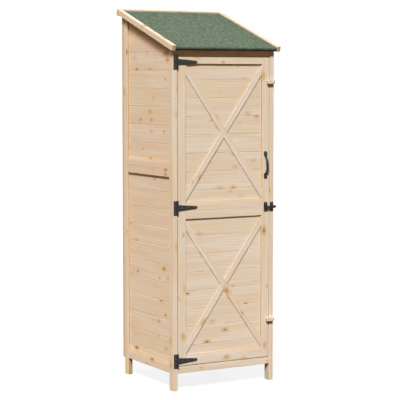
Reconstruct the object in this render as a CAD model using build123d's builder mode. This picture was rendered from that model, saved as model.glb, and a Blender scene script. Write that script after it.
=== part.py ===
"""Tall wooden garden cabinet with one braced door and a felted lean-to roof.

Millimetres, +Z up. The origin is on the ground under the middle of the roof's plan.
The door faces -Y, +X is to the right as seen from the front.
"""

import os
from math import acos, asin, atan2, ceil, cos, degrees, floor, hypot, radians, sin, tan

from build123d import *

# Cabinet, overall
body_width = 550.0
body_depth = 514.0              # fronts of the front posts to the back of the back wall
leg_height = 82.0               # ground to the underside of the bottom rails
door_height = 1440.0
header_height = 38.0            # at the post fronts, under the roof
header_setback = 8.0            # header's face behind the post fronts

# Roof
roof_pitch = 18.7               # degrees, falling to the front
front_overhang = 29.5           # level distance from the post fronts to the verge noses
rear_batten_gap = 0.4           # level distance from the back wall to the rear batten
rear_batten_width = 17.5        # along the slope
rear_batten_height = 31.0
verge_width = 20.0
verge_height = 26.0
verge_rise = 7.5                # how far the battens stand above the felt
deck_thickness = 10.0
felt_thickness = 2.5
felt_drop = 4.5                 # how far the felt's turned-down edge hangs below the deck
felt_roll = 5.0                 # outer radius where the felt turns down

# Posts and rails
post_width = 22.0               # across the front
post_depth = 40.0               # along the side
panel_recess = 8.0              # rails and door frame stand this far in front of the boards
board_rebate = 12.0             # how deep the wall boards sit in the posts
sill_height = 32.0
side_bottom_rail_height = 46.0
side_lower_mid_height = 40.0
side_upper_mid_height = 33.0
wall_mid_height = 1041.0        # meeting line of the two panels of a side wall
back_rail_thickness = 22.0
back_bottom_rail_height = 30.0
back_top_rail_height = 45.0
top_rail_thickness = 18.0
top_rail_height = 36.0
weather_bevel_height = 13.0     # sloped upper edge of the rails that shed water
weather_bevel_depth = 1.2
edge_ease = 1.0                 # small chamfer on sawn edges

# Tongue-and-groove boards
board_cover = 86.0              # face width from joint to joint
board_gap = 0.3
tongue_thickness = 3.5
tongue_length = 5.0
tongue_clearance = 0.25
joint_vee = 1.5
end_clearance = 0.5             # board ends to the bottom of their rebate
back_board_thickness = 16.0
wall_starter = 26.0             # ripped boards either side of a panel's meeting line
door_upper_starter = 93.0
door_lower_starter = 34.0
least_strip = 8.0               # a narrower leftover is joined to the next board

# Door
door_gap = 3.0                  # all round the leaf
door_lower_panel = 728.0        # door's bottom to the meeting line of its two panels
door_board_thickness = 14.0
stile_width = 42.0
door_top_rail_height = 32.0
door_mid_rail_height = 40.0
door_bottom_rail_height = 50.0
brace_width = 29.0
brace_thickness = 5.0           # a little behind the door's frame
lap_clearance = 0.1
stop_gap = 1.0                  # back of the closed leaf to its stops
stop_lap = 12.0                 # how far the stop hangs below the header
stop_hold = 26.0                # how far the stop reaches up behind the header

# Floor and shelves
floor_thickness = 16.0
floor_board_count = 5
floor_board_gap = 4.0
floor_side_clearance = 1.0
shelf_thickness = 16.0
shelf_setback = 50.0            # post fronts to the front of a shelf
shelf_rear_gap = 10.0
shelf_board_gap = 8.0
shelf_boards = 3
shelf_end_clearance = 1.0
lower_shelf_top = 620.0
upper_shelf_top = 1120.0
cleat_thickness = 18.0
cleat_height = 30.0

# Dowels
dowel_radius = 3.0
side_dowel_radius = 2.0         # in the thin side rails
dowel_length = 30.0
dowel_clearance = 0.05

# T-hinges
upper_hinge_inset = 24.0        # door's top to the middle of the upper hinge
middle_hinge_rise = 13.5        # door's meeting line to the middle of the middle hinge
lower_hinge_inset = 23.5        # door's bottom to the middle of the lower hinge
leaf_thickness = 2.0
knuckle_radius = 3.0
knuckle_lift = 0.2              # barrel clear of the wood
hinge_pin_radius = 1.6
hinge_running_fit = 0.05
plate_height = 67.0
plate_margin = 2.0              # plate edge to the outer edge of the post
strap_length = 104.0
strap_root = 30.0
strap_tip = 13.0
knuckle_gap = 0.3
pin_head_radius = 2.4
pin_head_height = 1.6

# Screws
screw_head_radius = 3.3
screw_head_height = 1.7
screw_radius = 1.6
screw_length = 11.0             # under the head
screw_slot = 0.8
screw_clearance = 0.05
plate_screw_rows = (12.0, 27.0)     # above and below a hinge's middle
strap_screw_places = (24.0, 54.0, 86.0)

# Handle
handle_rise = 201.0             # door's meeting line to the middle of the handle
handle_foot_radius = 9.5
handle_foot_stretch = 8.0       # straight part of the oval foot
handle_foot_thickness = 3.5
handle_reach = 52.4             # handle's middle to the middle of a foot
handle_projection = 20.0        # wood to the middle of the grip
handle_bow_drop = 4.0           # the bow stands out furthest this far below the middle
grip_half_width = 7.0           # in the middle, where it is thickest
grip_end_half_width = 4.5
grip_half_depth = 4.5

# Slide bolt
bolt_radius = 5.0
bolt_running_fit = 0.05
bracket_width = 18.5
bracket_height = 45.0
bracket_plate = 2.0
loop_width = 12.0
loop_wall = 3.0
keeper_inset = 20.0             # door edge to the middle of the keeper
bolt_stand = 9.5                # wood to the middle of the bolt
bracket_screw_reach = 16.0
bolt_end_inset = 2.0            # bolt end inside the keeper's outer face
bolt_head_step = 0.6            # lip at the bolt's end that keeps it in the guide
bolt_head_length = 3.5
keeper_clearance = 0.3
bolt_knob_radius = 6.5
bolt_knob_gap = 0.5
bolt_neck_bite = 2.0            # how far the bar runs into its knob

# Turn buttons
upper_button_inset = 116.0      # door's top to the upper pivot
lower_button_inset = 183.0      # door's bottom to the lower pivot
turn_button_length = 39.5
turn_button_height = 18.0
turn_button_thickness = 15.0
turn_button_heel = 8.0          # pivot to the short end
turn_button_gap = 0.5           # clear of the door and post
pivot_radius = 2.0
pivot_depth = 18.0              # into the post
pivot_head_radius = 4.5
pivot_head_height = 2.2

# Places worked out from the sizes above
pitch = radians(roof_pitch)
half_width = body_width / 2
inner_x = half_width - post_width
verge_top = deck_thickness + felt_thickness + verge_rise
verge_bottom = verge_top - verge_height
batten_bottom = verge_top - rear_batten_height
roof_front = (verge_top * sin(pitch) - front_overhang) / cos(pitch)
deck_rear = (body_depth + rear_batten_gap) / cos(pitch)
roof_rear = deck_rear + rear_batten_width
roof_run = front_overhang + roof_rear * cos(pitch) - batten_bottom * sin(pitch)
front_y = front_overhang - roof_run / 2
back_y = front_y + body_depth
rear_y = back_y - back_board_thickness
front_post_y = (front_y, front_y + post_depth)
rear_post_y = (rear_y - post_depth, rear_y)
panel_y = (front_post_y[1], rear_post_y[0])
board_x = -half_width + panel_recess
wall_board_thickness = post_width - panel_recess

sill_top = leg_height + sill_height
door_bottom = sill_top + door_gap
door_top = door_bottom + door_height
door_joint = door_bottom + door_lower_panel
header_bottom = door_top + door_gap
header_top = header_bottom + header_height
door_thickness = panel_recess + door_board_thickness
header_thickness = door_thickness + stop_gap
stop_front = front_y + header_thickness
door_x = inner_x - door_gap
field_x = door_x - stile_width
stile_x = door_x - stile_width / 2
keeper_x = door_x - keeper_inset
post_mid_x = half_width - post_width / 2

up_slope = (0, cos(pitch), sin(pitch))
roof_normal = (0, -sin(pitch), cos(pitch))
roof_underside = Plane(origin=(0, front_y, header_top), x_dir=(1, 0, 0), z_dir=roof_normal)
roof_section = Plane(origin=(-half_width, front_y, header_top), x_dir=up_slope, z_dir=(1, 0, 0))
front_plane = Plane(origin=(0, front_y, 0), x_dir=(1, 0, 0), z_dir=(0, -1, 0))

floor_bottom = leg_height + back_bottom_rail_height
floor_top = floor_bottom + floor_thickness
tall = header_top + body_depth * tan(pitch) + verge_height

hinge_heights = {
    "upper": door_top - upper_hinge_inset,
    "middle": door_joint + middle_hinge_rise,
    "lower": door_bottom + lower_hinge_inset,
}
turn_button_heights = {"upper": door_top - upper_button_inset, "lower": door_bottom + lower_button_inset}
handle_height = door_joint + handle_rise
hinge_x = -inner_x + door_gap / 2
hinge_y = front_y - knuckle_radius - knuckle_lift
plate_x = (-half_width + plate_margin, hinge_x)
plate_screw_x = (plate_x[0] + hinge_x - knuckle_radius) / 2
bolt_y = front_y - bolt_stand
bolt_z = door_joint

os.makedirs("parts", exist_ok=True)


def save(piece, name):
    """Label a finished piece and write it under its own name."""
    piece.part.label = name
    export_step(piece.part, f"parts/{name}.step")


def twin(piece):
    """The same piece on the other side of the cabinet."""
    with BuildPart() as other:
        mirror(piece.part, about=Plane.YZ)
    return other


def under_roof(y):
    """Height of the deck's underside over a place along Y."""
    return header_top + (y - front_y) * tan(pitch)


def block(x_span, y_span, z_span, mode=Mode.ADD):
    """A rectangular stick between its limits."""
    spans = (x_span, y_span, z_span)
    with Locations(tuple(sum(span) / 2 for span in spans)):
        Box(*(span[1] - span[0] for span in spans), mode=mode)


def rods(points, radius, length, turn, mode=Mode.SUBTRACT):
    """Round bars or bores of one length, centred on their points."""
    with Locations(*points):
        Cylinder(radius, length, rotation=turn, mode=mode)


ALONG_X = (0, 90, 0)
ALONG_Y = (90, 0, 0)


def ease_front(piece):
    """Take the sharpness off the front edges of a stick."""
    chamfer(piece.faces().sort_by(Axis.Y)[0].edges(), edge_ease)


# Dowels stand half in a post and half in a rail
side_rail_heights = {
    "bottom_rail": (leg_height, leg_height + side_bottom_rail_height),
    "lower_mid_rail": (wall_mid_height - side_lower_mid_height, wall_mid_height),
    "upper_mid_rail": (wall_mid_height, wall_mid_height + side_upper_mid_height),
}
bevelled_rails = ("bottom_rail", "upper_mid_rail")
back_top_rail_bottom = under_roof(rear_y - back_rail_thickness) - back_top_rail_height
cross_rail_places = [
    (front_y + header_thickness / 2, leg_height + sill_height / 2),
    (front_y + (header_setback + header_thickness) / 2, header_bottom + header_height / 2),
    (rear_y - back_rail_thickness / 2, leg_height + back_bottom_rail_height / 2),
    (rear_y - back_rail_thickness / 2, back_top_rail_bottom + back_top_rail_height / 2),
]
side_dowels = [
    (side * (half_width - panel_recess / 2), y, sum(heights) / 2)
    for side in (-1, 1) for y in panel_y for heights in side_rail_heights.values()
]
cross_dowels = [(side * inner_x, y, z) for side in (-1, 1) for y, z in cross_rail_places]


def bore_dowels():
    """Dowel bores in the piece being built."""
    bore_length = dowel_length + 2 * end_clearance
    rods(side_dowels, side_dowel_radius + dowel_clearance, bore_length, ALONG_Y)
    rods(cross_dowels, dowel_radius + dowel_clearance, bore_length, ALONG_X)


with BuildPart() as frame_dowels:
    rods(side_dowels, side_dowel_radius, dowel_length, ALONG_Y, Mode.ADD)
    rods(cross_dowels, dowel_radius, dowel_length, ALONG_X, Mode.ADD)
save(frame_dowels, "frame_dowels")

# Screw places, each on the surface that the metal lies on
plate_screws = [
    (plate_screw_x, front_y, height + side * row)
    for height in hinge_heights.values() for row in plate_screw_rows for side in (-1, 1)
]
strap_screws = [
    (hinge_x + place, front_y, height)
    for height in hinge_heights.values() for place in strap_screw_places
]
guide_screws = [(post_mid_x, front_y, bolt_z + side * bracket_screw_reach) for side in (-1, 1)]
keeper_screws = [(keeper_x, front_y, bolt_z + side * bracket_screw_reach) for side in (-1, 1)]
handle_screws = [(stile_x, front_y, handle_height + side * handle_reach) for side in (-1, 1)]
pivots = [(post_mid_x, front_y, height) for height in turn_button_heights.values()]


def bore_screws(points):
    """Pilot holes for screws that enter from the front."""
    rods(points, screw_radius + screw_clearance, 2 * screw_length, ALONG_Y)


def screw(seat, head_radius, head_height, radius, length):
    """A round-headed screw pointing along +Y whose head sits a given height off the wood."""
    with BuildPart() as one:
        with BuildSketch(Plane.XY):
            with BuildLine():
                crown = ThreePointArc(
                    (0, -seat - head_height),
                    (head_radius * 0.7, -seat - head_height * 0.68),
                    (head_radius, -seat),
                )
                Polyline(
                    crown @ 1,
                    (radius, -seat),
                    (radius, length - seat - 2 * radius),
                    (0, length - seat),
                    crown @ 0,
                )
            make_face()
        revolve(axis=Axis.Y)
        with Locations((0, -seat - head_height, 0)):
            Box(screw_slot, screw_slot * 2, head_radius * 1.2, mode=Mode.SUBTRACT)
            Box(head_radius * 1.2, screw_slot * 2, screw_slot, mode=Mode.SUBTRACT)
    return one.part


# Posts, rebated for the wall boards and cut to the slope of the roof
def post(y_span, rebate_y):
    """A left-hand post with its board rebate towards the middle of the wall."""
    with BuildPart() as stick:
        block((-half_width, -inner_x), y_span, (0, tall))
        chamfer(stick.edges().filter_by(Axis.Z), edge_ease)
        block((board_x, -inner_x), rebate_y, (leg_height, tall), mode=Mode.SUBTRACT)
        split(bisect_by=roof_underside, keep=Keep.BOTTOM)
        bore_dowels()
    return stick


left_posts = {
    "front": post(front_post_y, (front_post_y[1] - board_rebate, front_post_y[1])),
    "rear": post(rear_post_y, (rear_post_y[0], rear_post_y[0] + board_rebate)),
}
for place, stick in left_posts.items():
    with BuildPart() as left_post:
        add(stick.part)
        if place == "front":
            bore_screws(plate_screws)
    save(left_post, f"{place}_left_post")

    with BuildPart() as right_post:
        mirror(stick.part, about=Plane.YZ)
        if place == "front":
            bore_screws(guide_screws)
            rods(pivots, pivot_radius + screw_clearance, 2 * pivot_depth, ALONG_Y)
    save(right_post, f"{place}_right_post")


# Tongue-and-groove boards
def courses(low, high, joint):
    """The lower and upper limits of each board between two heights, with a joint at a given height."""
    first = joint - board_cover * floor((joint - low) / board_cover)
    count = ceil((high - first) / board_cover)
    joints = [first + board_cover * step for step in range(count)]
    kept = [height for height in joints if low + least_strip < height < high - least_strip]
    limits = [low, *kept, high]
    return list(zip(limits, limits[1:]))


def board_outline(low, high, thickness, grooved, tongued):
    """Corners of one board's section: X runs in from its face, Y runs from board to board."""
    bottom = low + (board_gap / 2 if grooved else 0)
    top = high - (board_gap / 2 if tongued else 0)
    middle = thickness / 2
    groove = tongue_thickness / 2 + tongue_clearance
    corners = [(0, bottom + joint_vee), (joint_vee, bottom)]
    if grooved:
        bed = bottom + tongue_length + tongue_clearance
        corners += [(middle - groove, bottom), (middle - groove, bed)]
        corners += [(middle + groove, bed), (middle + groove, bottom)]
    corners += [(thickness, bottom), (thickness, top)]
    if tongued:
        tip = top + tongue_length
        tongue = tongue_thickness / 2
        corners += [(middle + tongue, top), (middle + tongue, tip)]
        corners += [(middle - tongue, tip), (middle - tongue, top)]
    corners += [(joint_vee, top), (0, top - joint_vee)]
    return corners


def lay_boards(plane, length, thickness, limits):
    """Boards laid edge to edge, starting in a plane across their ends."""
    for number, (low, high) in enumerate(limits):
        with BuildSketch(plane) as section:
            with BuildLine():
                outline = board_outline(low, high, thickness, number > 0, number < len(limits) - 1)
                Polyline(*outline, close=True)
            make_face()
        extrude(section.sketch, amount=length)


wall_board_y = (panel_y[0] - board_rebate + end_clearance, panel_y[1] + board_rebate - end_clearance)
wall_plane = Plane(origin=(board_x, wall_board_y[1], 0), x_dir=(1, 0, 0), z_dir=(0, -1, 0))
wall_panels = {
    "lower": courses(leg_height, wall_mid_height, wall_mid_height - wall_starter),
    "upper": courses(wall_mid_height, tall, wall_mid_height + wall_starter),
}
for place, limits in wall_panels.items():
    with BuildPart() as left_boards:
        lay_boards(wall_plane, wall_board_y[1] - wall_board_y[0], wall_board_thickness, limits)
        split(bisect_by=roof_underside, keep=Keep.BOTTOM)
    save(left_boards, f"left_{place}_boards")
    save(twin(left_boards), f"right_{place}_boards")

back_plane = Plane(origin=(half_width, back_y, 0), x_dir=(0, -1, 0), z_dir=(-1, 0, 0))
with BuildPart() as back_boards:
    back_limits = courses(leg_height, tall, leg_height + board_cover)
    lay_boards(back_plane, body_width, back_board_thickness, back_limits)
    split(bisect_by=roof_underside, keep=Keep.BOTTOM)
save(back_boards, "back_boards")


# Side rails, flush with the posts, some with a sloped upper edge that sheds water
def side_rail(low, high, bevelled):
    """A left-hand rail between the posts, in front of the wall boards."""
    outer, inner = -half_width, board_x
    corners = [(outer, low), (inner, low), (inner, high)]
    if bevelled:
        corners += [(outer + weather_bevel_depth, high), (outer, high - weather_bevel_height)]
    else:
        corners += [(outer, high)]
    with BuildPart() as rail:
        with BuildSketch(Plane.XZ.offset(-panel_y[1])):
            with BuildLine():
                Polyline(*corners, close=True)
            make_face()
        extrude(amount=panel_y[1] - panel_y[0])
        lower_edge = rail.edges().filter_by(Axis.Y).sort_by(Axis.Z)[0:2].sort_by(Axis.X)[0]
        chamfer(lower_edge, edge_ease)
        bore_dowels()
    return rail


for name, (low, high) in side_rail_heights.items():
    left_rail = side_rail(low, high, name in bevelled_rails)
    save(left_rail, f"left_{name}")
    save(twin(left_rail), f"right_{name}")

# Sloped rails inside the walls, which the roof deck is nailed to
top_rail_y = (front_post_y[1], rear_y - back_rail_thickness)
with BuildPart() as left_top_rail:
    with BuildSketch(Plane.YZ.offset(-inner_x)):
        with BuildLine():
            Polyline(
                (top_rail_y[0], under_roof(top_rail_y[0]) - top_rail_height),
                (top_rail_y[1], under_roof(top_rail_y[1]) - top_rail_height),
                (top_rail_y[1], under_roof(top_rail_y[1])),
                (top_rail_y[0], under_roof(top_rail_y[0])),
                close=True,
            )
        make_face()
    extrude(amount=top_rail_thickness)
save(left_top_rail, "left_top_rail")
save(twin(left_top_rail), "right_top_rail")

# Cross rails
cross_x = (-inner_x, inner_x)
back_rail_y = (rear_y - back_rail_thickness, rear_y)
with BuildPart() as back_bottom_rail:
    block(cross_x, back_rail_y, (leg_height, floor_bottom))
    bore_dowels()
save(back_bottom_rail, "back_bottom_rail")

with BuildPart() as back_top_rail:
    block(cross_x, back_rail_y, (back_top_rail_bottom, tall))
    split(bisect_by=roof_underside, keep=Keep.BOTTOM)
    bore_dowels()
save(back_top_rail, "back_top_rail")

with BuildPart() as front_sill:
    block(cross_x, (front_y, stop_front), (leg_height, sill_top))
    ease_front(front_sill)
    bore_dowels()
save(front_sill, "front_sill")

with BuildPart() as header_rail:
    block(cross_x, (front_y + header_setback, stop_front), (header_bottom, tall))
    split(bisect_by=roof_underside, keep=Keep.BOTTOM)
    bore_dowels()
save(header_rail, "header_rail")

stop_y = (stop_front, front_post_y[1])
with BuildPart() as door_stop:
    block(cross_x, stop_y, (header_bottom - stop_lap, header_bottom + stop_hold))
save(door_stop, "door_stop")

with BuildPart() as front_floor_bearer:
    block(cross_x, stop_y, (leg_height, floor_bottom))
save(front_floor_bearer, "front_floor_bearer")

# Floor boards run front to back, shelf boards run across
floor_pitch = (2 * (inner_x - floor_side_clearance) + floor_board_gap) / floor_board_count
floor_middle = ((stop_front + rear_y) / 2, (floor_bottom + floor_top) / 2)
with BuildPart() as floor_boards:
    with Locations((0, *floor_middle)):
        with GridLocations(floor_pitch, 1, floor_board_count, 1):
            Box(floor_pitch - floor_board_gap, rear_y - stop_front, floor_thickness)
    chamfer(floor_boards.faces().filter_by(Axis.Z).group_by(Axis.Z)[-1].edges(), edge_ease)
save(floor_boards, "floor_boards")

shelf_y = (front_y + shelf_setback, rear_y - shelf_rear_gap)
shelf_pitch = (shelf_y[1] - shelf_y[0] + shelf_board_gap) / shelf_boards
for place, top in {"lower": lower_shelf_top, "upper": upper_shelf_top}.items():
    with BuildPart() as shelf:
        with Locations((0, sum(shelf_y) / 2, top - shelf_thickness / 2)):
            with GridLocations(1, shelf_pitch, 1, shelf_boards):
                Box(2 * (inner_x - shelf_end_clearance), shelf_pitch - shelf_board_gap, shelf_thickness)
        chamfer(shelf.faces().filter_by(Axis.Z).group_by(Axis.Z)[-1].edges(), edge_ease)
    save(shelf, f"{place}_shelf")

with BuildPart() as shelf_cleats:
    for top in (lower_shelf_top, upper_shelf_top):
        rest = top - shelf_thickness
        for side in (-1, 1):
            cleat_x = sorted((side * inner_x, side * (inner_x - cleat_thickness)))
            block(cleat_x, shelf_y, (rest - cleat_height, rest))
save(shelf_cleats, "shelf_cleats")

# Roof: deck boards between two verge battens and a rear batten, felt over the deck and its front edge
deck_y = (roof_front + felt_thickness, deck_rear)
deck_count = ceil((deck_y[1] - deck_y[0]) / board_cover)
deck_cover = (deck_y[1] - deck_y[0]) / deck_count
deck_limits = [(deck_y[0] + deck_cover * n, deck_y[0] + deck_cover * (n + 1)) for n in range(deck_count)]
deck_origin = roof_section.from_local_coords((0, deck_thickness, 0))
deck_plane = Plane(origin=deck_origin, x_dir=-Vector(*roof_normal), z_dir=(1, 0, 0))
with BuildPart() as roof_deck:
    lay_boards(deck_plane, body_width, deck_thickness, deck_limits)
save(roof_deck, "roof_deck")

felt_top = deck_thickness + felt_thickness
with BuildPart() as roof_felt:
    with BuildSketch(roof_section):
        with BuildLine():
            Polyline(
                (roof_front, -felt_drop),
                (roof_front + felt_thickness, -felt_drop),
                (roof_front + felt_thickness, deck_thickness),
                (deck_y[1], deck_thickness),
                (deck_y[1], felt_top),
                (roof_front, felt_top),
                close=True,
            )
        make_face()
    extrude(amount=body_width)
    nose = roof_felt.edges().filter_by(Axis.X).sort_by(Axis.Y)[0:2].sort_by(Axis.Z)[-1]
    fillet(nose, felt_roll)
save(roof_felt, "roof_felt")


def batten(along, across, bottom):
    """A roof batten over a stretch of the slope and a stretch of the width from the left of the deck."""
    with BuildPart() as stick:
        with BuildSketch(roof_section.offset(across[0])):
            with Locations((sum(along) / 2, (bottom + verge_top) / 2)):
                Rectangle(along[1] - along[0], verge_top - bottom)
        extrude(amount=across[1] - across[0])
        chamfer(stick.edges(), edge_ease)
    return stick


left_verge = batten((roof_front, deck_rear), (-verge_width, 0), verge_bottom)
save(left_verge, "left_verge")
save(twin(left_verge), "right_verge")

rear_batten = batten((deck_rear, roof_rear), (-verge_width, body_width + verge_width), batten_bottom)
save(rear_batten, "rear_batten")

# Door: boards behind a planted frame
door_panels = [
    courses(door_bottom, door_joint, door_joint - door_lower_starter),
    courses(door_joint, door_top, door_joint + door_upper_starter),
]
board_y = front_y + panel_recess
door_board_plane = Plane(origin=(-door_x, board_y, 0), x_dir=(0, 1, 0), z_dir=(1, 0, 0))
with BuildPart() as door_boards:
    for limits in door_panels:
        low, high = limits[0][0], limits[-1][1]
        bottom = low + (board_gap / 2 if low == door_joint else 0)
        top = high - (board_gap / 2 if high == door_joint else 0)
        trimmed = [(bottom, limits[0][1]), *limits[1:-1], (limits[-1][0], top)]
        lay_boards(door_board_plane, 2 * door_x, door_board_thickness, trimmed)
    bore_screws(strap_screws + keeper_screws + handle_screws)
save(door_boards, "door_boards")

frame_y = (front_y, board_y)
for name, x_span in {"hinge": (-door_x, -field_x), "latch": (field_x, door_x)}.items():
    with BuildPart() as stile:
        block(x_span, frame_y, (door_bottom, door_top))
        ease_front(stile)
        bore_screws(strap_screws if name == "hinge" else keeper_screws + handle_screws)
    save(stile, f"door_{name}_stile")


def door_rail(low, high, bevelled):
    """A rail between the stiles, some with a sloped upper edge that sheds water."""
    corners = [(front_y, low), (board_y, low), (board_y, high)]
    if bevelled:
        corners += [(front_y + weather_bevel_depth, high), (front_y, high - weather_bevel_height)]
    else:
        corners += [(front_y, high)]
    with BuildPart() as rail:
        with BuildSketch(Plane.YZ.offset(-field_x)):
            with BuildLine():
                Polyline(*corners, close=True)
            make_face()
        extrude(amount=2 * field_x)
        lower_edge = rail.edges().filter_by(Axis.X).sort_by(Axis.Z)[0:2].sort_by(Axis.Y)[0]
        chamfer(lower_edge, edge_ease)
        bore_screws(strap_screws)
    return rail


door_rails = {
    "top": (door_top - door_top_rail_height, door_top, False),
    "upper_mid": (door_joint, door_joint + door_mid_rail_height, True),
    "lower_mid": (door_joint - door_mid_rail_height, door_joint, False),
    "bottom": (door_bottom, door_bottom + door_bottom_rail_height, True),
}
for name, (low, high, bevelled) in door_rails.items():
    save(door_rail(low, high, bevelled), f"door_{name}_rail")

# Braces cross corner to corner and are half-lapped where they meet
door_fields = {
    "lower": (door_rails["bottom"][1], door_rails["lower_mid"][0]),
    "upper": (door_rails["upper_mid"][1], door_rails["top"][0]),
}
brace_plane = front_plane.offset(brace_thickness - panel_recess)


def brace(low, high, falling):
    """One arm of a door field's X, cut upright at the stiles; the falling arm lies over the rising one."""
    height, width = high - low, 2 * field_x
    slope = acos(brace_width / hypot(height, width)) - atan2(width, height)
    drop = brace_width / cos(slope)
    turn = degrees(slope) if falling else -degrees(slope)
    start = -field_x if falling else field_x
    half_lap = brace_thickness / 2
    lap_front = half_lap if falling else -lap_clearance
    lap_back = brace_thickness + lap_clearance if falling else half_lap + lap_clearance
    with BuildPart() as arm:
        with BuildSketch(brace_plane):
            with BuildLine():
                Polyline((start, high), (start, high - drop), (-start, low), (-start, low + drop), close=True)
            make_face()
        extrude(amount=-brace_thickness)
        front_edges = arm.faces().sort_by(Axis.Y)[0].edges()
        chamfer(front_edges.sort_by(SortBy.LENGTH)[-2:], edge_ease)
        with BuildSketch(brace_plane.offset(-lap_front)):
            with Locations((0, (low + high) / 2)):
                Rectangle(2 * hypot(height, width), brace_width + 2 * lap_clearance, rotation=turn)
        extrude(amount=lap_front - lap_back, mode=Mode.SUBTRACT)
    return arm


for place, (low, high) in door_fields.items():
    for name, falling in {"falling": True, "rising": False}.items():
        save(brace(low, high, falling), f"{place}_{name}_brace")


# T-hinges: a plate on the post, a strap on the door, both rolled round one pin
def knuckle(low, high):
    """A rolled barrel on the hinge line between two heights."""
    with BuildSketch(Plane.XY.offset(low)) as ring:
        with Locations((hinge_x, hinge_y)):
            Circle(knuckle_radius)
    extrude(ring.sketch, amount=high - low)


def bore_knuckles():
    """The pin's bore on the hinge line."""
    with Locations((hinge_x, hinge_y, tall / 2)):
        Cylinder(hinge_pin_radius + hinge_running_fit, tall, mode=Mode.SUBTRACT)


def bore_plate(points):
    """Screw holes through a sheet-metal piece on the front of the wood."""
    rods(points, screw_radius + screw_clearance, 4 * screw_length, ALONG_Y)


leaf_y = (front_y - leaf_thickness, front_y)
strap_half = strap_root / 2
for place, height in hinge_heights.items():
    plate_z = (height - plate_height / 2, height + plate_height / 2)
    with BuildPart() as plate:
        block(plate_x, leaf_y, plate_z)
        outer_edges = plate.edges().filter_by(Axis.Y).sort_by(Axis.X)[0:2]
        fillet(outer_edges, 2 * edge_ease)
        notch_x = (hinge_x - knuckle_radius - knuckle_gap, hinge_x)
        notch_z = (height - strap_half - knuckle_gap, height + strap_half + knuckle_gap)
        block(notch_x, leaf_y, notch_z, mode=Mode.SUBTRACT)
        knuckle(plate_z[0], notch_z[0])
        knuckle(notch_z[1], plate_z[1])
        bore_knuckles()
        bore_plate(plate_screws)
    save(plate, f"{place}_hinge_plate")

    tip_x = hinge_x + strap_length - strap_tip / 2
    with BuildPart() as strap:
        with BuildSketch(front_plane):
            with BuildLine():
                upper_side = Line((hinge_x, height + strap_half), (tip_x, height + strap_tip / 2))
                nose = ThreePointArc(
                    upper_side @ 1,
                    (hinge_x + strap_length, height),
                    (tip_x, height - strap_tip / 2),
                )
                Polyline(nose @ 1, (hinge_x, height - strap_half), upper_side @ 0)
            make_face()
        extrude(amount=leaf_thickness)
        knuckle(height - strap_half, height + strap_half)
        bore_knuckles()
        bore_plate(strap_screws)
    save(strap, f"{place}_hinge_strap")

with BuildPart() as hinge_pins:
    for height in hinge_heights.values():
        with Locations((hinge_x, hinge_y, height)):
            Cylinder(hinge_pin_radius, plate_height)
        with Locations(*((hinge_x, hinge_y, height + side * (plate_height + pin_head_height) / 2)
                         for side in (-1, 1))):
            Cylinder(pin_head_radius, pin_head_height)
    outer_rims = hinge_pins.edges().filter_by(GeomType.CIRCLE)
    rounded = [rim for rim in outer_rims if abs(rim.radius - pin_head_radius) < screw_clearance]
    chamfer(rounded, pin_head_height / 3)
save(hinge_pins, "hinge_pins")

# Handle: two oval feet and a bowed grip
feet = (handle_height + handle_reach, handle_height - handle_reach)
grip_ends = (feet[0] - handle_foot_radius, feet[1] + handle_foot_radius)
grip_y = front_y - handle_projection
foot_y = front_y - handle_foot_thickness / 2
bow_z = handle_height - handle_bow_drop


def half_bow(end_z):
    """Half of the grip's path: straight up or down where it stands out furthest, then in to a foot."""
    out, rise = foot_y - grip_y, end_z - bow_z
    radius = (out**2 + rise**2) / (2 * out)
    half_turn = asin(rise / radius) / 2
    middle = (grip_y + radius * (1 - cos(half_turn)), bow_z + radius * sin(half_turn))
    return ThreePointArc((grip_y, bow_z), middle, (foot_y, end_z))


with BuildPart() as pull_handle:
    with BuildSketch(front_plane):
        for height in feet:
            with Locations((stile_x, height)):
                SlotCenterToCenter(handle_foot_stretch, 2 * handle_foot_radius, rotation=90)
    extrude(amount=handle_foot_thickness)
    chamfer(pull_handle.faces().sort_by(Axis.Y)[0:2].edges(), edge_ease)
    side_plane = Plane(origin=(stile_x, 0, 0), x_dir=(0, 1, 0), z_dir=(1, 0, 0))
    with BuildLine(side_plane) as bow:
        upper_bow = half_bow(grip_ends[0])
        lower_bow = half_bow(grip_ends[1])
    for arc in (upper_bow, lower_bow):
        for place, half_width_here in ((0, grip_half_width), (1, grip_end_half_width)):
            with BuildSketch(Plane(origin=arc @ place, x_dir=(1, 0, 0), z_dir=arc % place)):
                Ellipse(half_width_here, grip_half_depth)
        sweep(path=arc, multisection=True)
    block((-half_width, half_width), (front_y, front_y + handle_projection), (0, tall), mode=Mode.SUBTRACT)
    bore_plate(handle_screws)
save(pull_handle, "pull_handle")


# Slide bolt: a guide on the post, a keeper on the door, and a bar with a knob that runs through both
def bracket(middle_x, bore_radius, points):
    """A screwed plate with a round-fronted loop that the bar runs through."""
    loop_radius = bolt_radius + loop_wall
    with BuildPart() as piece:
        block(
            (middle_x - bracket_width / 2, middle_x + bracket_width / 2),
            (front_y - bracket_plate, front_y),
            (bolt_z - bracket_height / 2, bolt_z + bracket_height / 2),
        )
        fillet(piece.edges().filter_by(Axis.Y), 2 * edge_ease)
        with BuildSketch(Plane.YZ.offset(middle_x - loop_width / 2)):
            with Locations((bolt_y, bolt_z)):
                Circle(loop_radius)
            with Locations(((bolt_y + front_y - bracket_plate / 2) / 2, bolt_z)):
                Rectangle(front_y - bracket_plate / 2 - bolt_y, 2 * loop_radius)
        extrude(amount=loop_width)
        rods([(middle_x, bolt_y, bolt_z)], bore_radius, 2 * bracket_width, ALONG_X)
        bore_plate(points)
    return piece


bolt_head_radius = bolt_radius + bolt_head_step
save(bracket(post_mid_x, bolt_radius + bolt_running_fit, guide_screws), "bolt_guide")
save(bracket(keeper_x, bolt_head_radius + keeper_clearance, keeper_screws), "bolt_keeper")

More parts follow.
